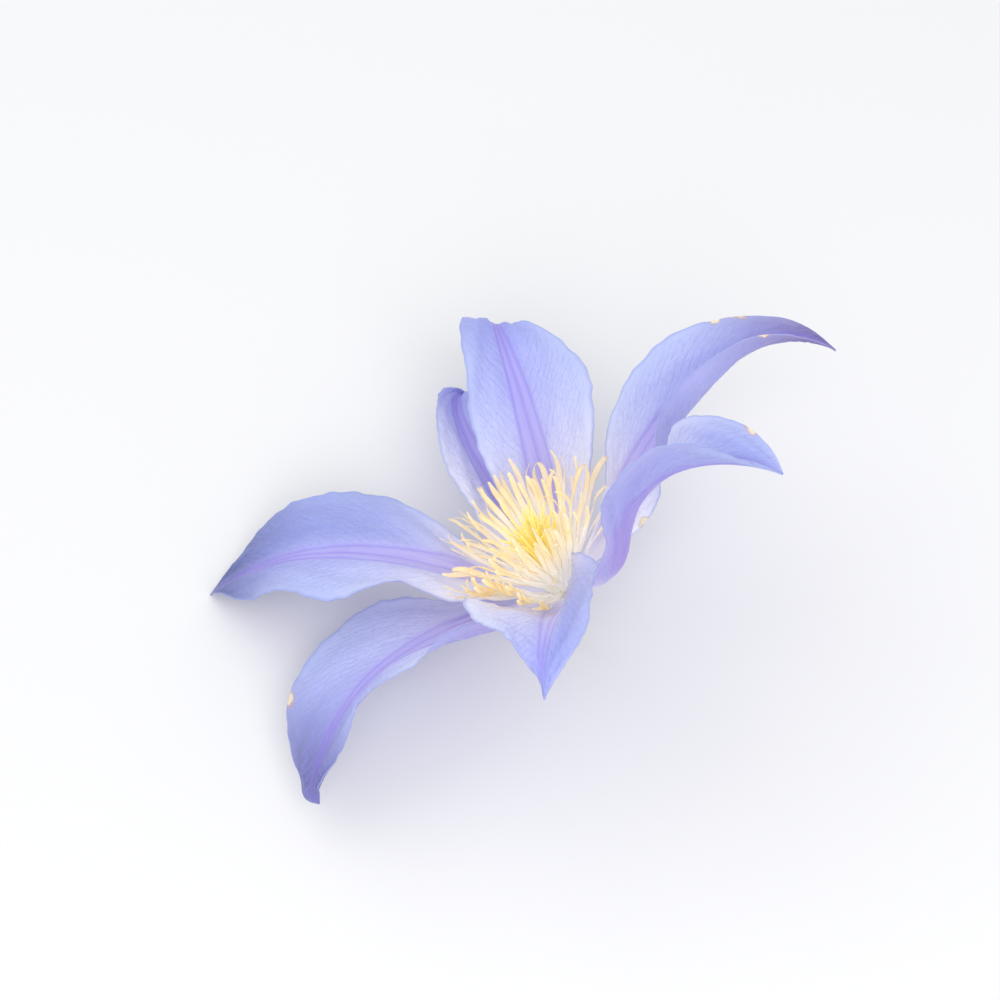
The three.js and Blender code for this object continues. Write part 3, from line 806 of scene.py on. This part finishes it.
def style_material():
    """Golden yellow, paler at the root and at the tip, with a fine grain."""
    paint = Paint("style_gold")
    along = paint.value("along")
    chance = paint.value("chance")
    places = paint.node("ShaderNodeTexCoord", output="Object")
    grain = paint.noise(places, 1400.0, 2.0)
    blotches = paint.noise(places, 300.0, 2.0)
    body = paint.mix((along + blotches * 0.5).step(0.0, 0.6), STYLE_PALE, STYLE_GOLD)
    body = paint.mix((along + chance * 0.2).step(0.75, 1.0) * 0.8, body, STYLE_TIP)
    body = paint.mix((grain + 0.5) * 0.12, body, STYLE_GRAIN)
    bump = paint.node("ShaderNodeBump", {}, {"Strength": 0.3, "Distance": 0.0002, "Height": grain})
    shader = paint.node("ShaderNodeBsdfPrincipled", {}, {
        "Base Color": body,
        "Roughness": 0.6 + grain * 0.2,
        "Normal": bump,
        "Subsurface Weight": 0.5,
        "Subsurface Radius": (1.1, 0.9, 0.5),
        "Subsurface Scale": 0.002,
        # painted glow: faint emission that lifts the shade inside the dense tuft
        "Emission Color": body,
        "Emission Strength": 0.12,
    })
    return paint.surface(shader)


def style_tuft():
    """Styles turned round the axis by the golden angle, close together. Each is a round, tapering
    walk that leans out by its root's distance, sways by chance and bends over at its tip."""
    random = np.random.default_rng(23)
    k = np.arange(STYLES)
    outward = np.sqrt((k + 0.5) / STYLES)[:, None]
    azimuth = (k * GOLDEN_ANGLE)[:, None]
    u = np.linspace(0, 1, STYLE_ROWS + 1)[None, :]
    chance = random.random((5, STYLES, 1)) * 2 - 1
    bending = STYLE_TIP_BEND * smooth_step(STYLE_TIP_START, 1, u) * (0.4 + 0.6 * chance[1])
    lift = 90 - (STYLE_SPREAD + STYLE_DROOP * u) * outward - bending
    lift = lift + STYLE_WAVE * np.sin(2 * np.pi * (0.9 * u + chance[0])) * u
    heading = azimuth + np.radians(STYLE_SWAY * chance[2] * u)
    out = STYLE_ROOT["radius"] * outward
    root = np.concatenate([out * np.cos(azimuth), out * np.sin(azimuth),
                           np.full_like(outward, STYLE_ROOT["height"])], 1)
    length = STYLE_LENGTH * (STYLE_LENGTHS[0] + STYLE_LENGTHS[1] * chance[3, :, 0])
    points, forward = walk(root, length, np.radians(lift), heading)
    side = np.stack([-np.sin(heading), np.cos(heading), np.zeros_like(heading)], -1)
    side = unit(side - forward * (side * forward).sum(-1, keepdims=True))
    turns = np.arange(STYLE_SIDES) * 2 * np.pi / STYLE_SIDES
    section = np.stack([np.cos(turns), np.sin(turns)], 1)
    widths = STYLE_HALF_WIDTH * (1 - 0.5 * u ** 2) * (1 + 0.15 * chance[4])
    grid = tubes(points, forward, side, section, widths, widths, np.zeros_like(widths))
    count, rows, sides = grid.shape[:3]
    values = dict(
        along=np.broadcast_to(u[..., None], (count, rows, sides)),
        chance=np.broadcast_to(chance[4][..., None], (count, rows, sides)),
    )
    piece = new_piece("style_tuft", laid(grid.reshape(-1, 3)), tube_faces(count, rows, sides),
                      style_material(), values)
    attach(piece, "root")
    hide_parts("styles")


style_tuft()


# ---------------------------------------------------------------------------------------------
# The receptacle and the stalk. A green, shallowly ribbed, finely downy stalk swells into the
# receptacle that the sepals, stamens and styles grew from. Its lower end is a fresh, pale cut.

STALK_PATH = ((-4, 7, -16), (-2, 3, -12.5), (-0.5, 0.5, -8), (0, 0, -4), (0, 0, 0))
STALK_HEIGHTS = (-16, -6, -5, -4, -2.4, -0.8, 0)  # of the middle line, with the radii there below
STALK_RADII = (1.28, 1.3, 1.5, 2.4, 3.05, 3.05, 2.5)
STALK_ROWS = 70
STALK_SIDES = 60
STALK_RIBS = 6
RIB_DEPTH = 0.05
CAP_SHARES = (0.03, 0.35, 0.7, 0.9, 0.97)  # shares of the end's radius at which its rings lie
ROUNDING = (0.1, 0.2, 0.4, 0.2, 0.1)  # weights of neighbouring radii, which round the corners
CREAM_FROM, CREAM_ABOVE = -2.2, -0.4  # heights between which the green turns to cream
STALK_GREEN = colour(122, 142, 74)
RIB_GREEN = colour(152, 168, 98)
PURPLE_FLUSH = colour(132, 110, 92)
DOWN_PALE = colour(206, 212, 176)
CUT_RING = colour(206, 214, 152)
CUT_PITH = colour(238, 238, 204)
CROWN_CREAM = colour(248, 240, 206)


def stalk_material():
    """Green skin with paler ribs and a purplish flush. The cut is pale with a darker ring, and the top
    that carries the stamens is cream."""
    paint = Paint("stalk_green")
    cut = paint.value("cut")
    rib = paint.value("rib")
    places = paint.node("ShaderNodeTexCoord", output="Object")
    blotches = paint.noise(places, 240.0, 4.0, 0.6)
    down = paint.noise(places, 3000.0, 2.0)
    body = paint.mix(rib * 0.4, STALK_GREEN, RIB_GREEN)
    body = paint.mix(blotches.step(0.02, 0.2) * 0.5, body, PURPLE_FLUSH)
    body = paint.mix(down.step(0.1, 0.25) * 0.25, body, DOWN_PALE)
    body = paint.mix(cut.step(0.0, 0.2), body, CUT_RING)
    body = paint.mix(cut.step(0.5, 1.0) * 0.7, body, CUT_PITH)
    body = paint.mix(paint.value("crown"), body, CROWN_CREAM)
    bump = paint.node("ShaderNodeBump", {}, {"Strength": 0.4, "Distance": 0.0002, "Height": down + blotches})
    shader = paint.node("ShaderNodeBsdfPrincipled", {}, {
        "Base Color": body,
        "Roughness": 0.62 + blotches * 0.2,
        "Normal": bump,
        "Subsurface Weight": 0.15,
        "Subsurface Radius": (0.7, 1.0, 0.4),
        "Subsurface Scale": 0.001,
    })
    return paint.surface(shader)


def stalk_and_receptacle():
    """A ribbed tube along a smooth middle line. Its radius goes by the line's height, and rings that
    shrink to the middle close both of its ends."""
    share = np.linspace(0, 1, STALK_ROWS)
    line = np.stack([smooth_curve(numbers, share) for numbers in zip(*STALK_PATH)], -1)
    forward = unit(np.gradient(line, axis=0))
    radius = np.interp(line[:, 2], STALK_HEIGHTS, STALK_RADII)
    radius = np.convolve(np.pad(radius, len(ROUNDING) // 2, mode="edge"), ROUNDING, "valid")
    ring = np.array(CAP_SHARES)
    line = np.concatenate([np.repeat(line[:1], len(ring), 0), line, np.repeat(line[-1:], len(ring), 0)])
    forward = np.concatenate([np.repeat(forward[:1], len(ring), 0), forward,
                              np.repeat(forward[-1:], len(ring), 0)])
    radius = np.concatenate([ring * radius[0], radius, ring[::-1] * radius[-1]])
    cut = np.concatenate([1 - ring, np.zeros(STALK_ROWS + len(ring))])
    side = unit(np.cross(forward, (1, 0, 0)))
    turns = np.arange(STALK_SIDES) * 2 * np.pi / STALK_SIDES
    rib = np.cos(STALK_RIBS * turns)
    section = np.stack([np.cos(turns), np.sin(turns)], 1) * (1 + RIB_DEPTH * rib)[:, None]
    grid = tubes(line[None], forward[None], side[None], section, radius[None], radius[None],
                 np.zeros_like(radius)[None])
    rows = len(radius)
    crown = smooth_step(CREAM_FROM, CREAM_ABOVE, line[:, 2])
    values = dict(
        cut=np.broadcast_to(cut[:, None], (rows, STALK_SIDES)),
        crown=np.broadcast_to(crown[:, None], (rows, STALK_SIDES)),
        rib=np.broadcast_to((rib + 1) / 2, (rows, STALK_SIDES)),
    )
    piece = new_piece("receptacle_and_stalk", laid(grid.reshape(-1, 3)), tube_faces(1, rows, STALK_SIDES),
                      stalk_material(), values)
    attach(piece, "root")
    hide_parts("receptacle")


stalk_and_receptacle()


# ---------------------------------------------------------------------------------------------
# The floor is a plain pale surface. It isn't part of the flower.

FLOOR_HALF = 1.2
FLOOR_PALE = colour(232, 232, 232)

floor_paint = Paint("pale_floor")
floor_shader = floor_paint.node("ShaderNodeBsdfPrincipled", {}, {
    "Base Color": FLOOR_PALE, "Roughness": 0.75,
})
corners = np.array([(-1, -1, 0), (1, -1, 0), (1, 1, 0), (-1, 1, 0)]) * FLOOR_HALF
floor = new_piece("floor", corners, [(0, 1, 2, 3)], floor_paint.surface(floor_shader))


# ---------------------------------------------------------------------------------------------
# Soft studio light: a wide window above and in front, a weaker one behind on the left, and a pale
# room all round. Places and sizes are in metres.

KEY = dict(place=(0.12, -0.56, 0.68), size=0.7, power=4.2, tint=(1.0, 0.99, 0.97))
FILL = dict(place=(-0.45, 0.45, 0.6), size=0.9, power=1.8, tint=(0.97, 0.98, 1.0))
LOOKED_AT = (0, 0, 0.03)
ROOM_COLOUR = (0.96, 0.97, 1.0, 1)
ROOM_STRENGTH = 0.79


def window(name, place, size, power, tint):
    """A square area light at a place in metres that looks at the flower."""
    light = bpy.data.lights.new(name, "AREA")
    light.shape = "SQUARE"
    light.size = size
    light.energy = power
    light.color = tint
    lamp = bpy.data.objects.new(name, light)
    bpy.context.scene.collection.objects.link(lamp)
    backward = unit(np.array(place) - LOOKED_AT)
    right = unit(np.cross((0, 0, 1), backward))
    set_pose(lamp, np.stack([right, np.cross(backward, right), backward], 1), place)


def set_pose(thing, axes, place):
    """Puts a light or camera at a place, with its own axes as the columns of a matrix."""
    matrix = np.eye(4)
    matrix[:3, :3] = axes
    matrix[:3, 3] = place
    thing.matrix_world = Matrix(matrix.tolist())


window("key_window", **KEY)
window("fill_window", **FILL)

world = bpy.data.worlds.new("pale_room")
bpy.context.scene.world = world
world.use_nodes = True
room = world.node_tree.nodes["Background"]
room.inputs["Color"].default_value = ROOM_COLOUR
room.inputs["Strength"].default_value = ROOM_STRENGTH
bpy.context.scene.view_settings.view_transform = "Standard"


# ---------------------------------------------------------------------------------------------
# The camera looks down on the flower from the side that the photograph was taken from.

CAMERA_ELEVATION = 32.0  # degrees above the flower's own plane
CAMERA_ROLL = -30.0
CAMERA_DISTANCE = 520.0
SENSOR_WIDTH = 36.0
PICTURE_WIDTH = 200.0  # millimetres that the picture spans at the flower's middle
CAMERA_OFFSET = (-12.2, 16.7)  # right and up, of the picture's centre from the flower's middle

e, r = math.radians(CAMERA_ELEVATION), math.radians(CAMERA_ROLL)
towards = np.array([0, -math.cos(e), math.sin(e)])
upright = np.array([0, math.sin(e), math.cos(e)])
level = np.array([1, 0, 0])
picture_right = level * math.cos(r) + upright * math.sin(r)
picture_up = -level * math.sin(r) + upright * math.cos(r)
eye = CAMERA_OFFSET[0] * picture_right + CAMERA_OFFSET[1] * picture_up + CAMERA_DISTANCE * towards
camera = bpy.data.objects.new("camera", bpy.data.cameras.new("camera"))
camera.data.sensor_width = SENSOR_WIDTH
camera.data.lens = SENSOR_WIDTH * CAMERA_DISTANCE / PICTURE_WIDTH
bpy.context.scene.collection.objects.link(camera)
set_pose(camera, LYING @ np.stack([picture_right, picture_up, towards], 1), laid(eye))
bpy.context.scene.camera = camera
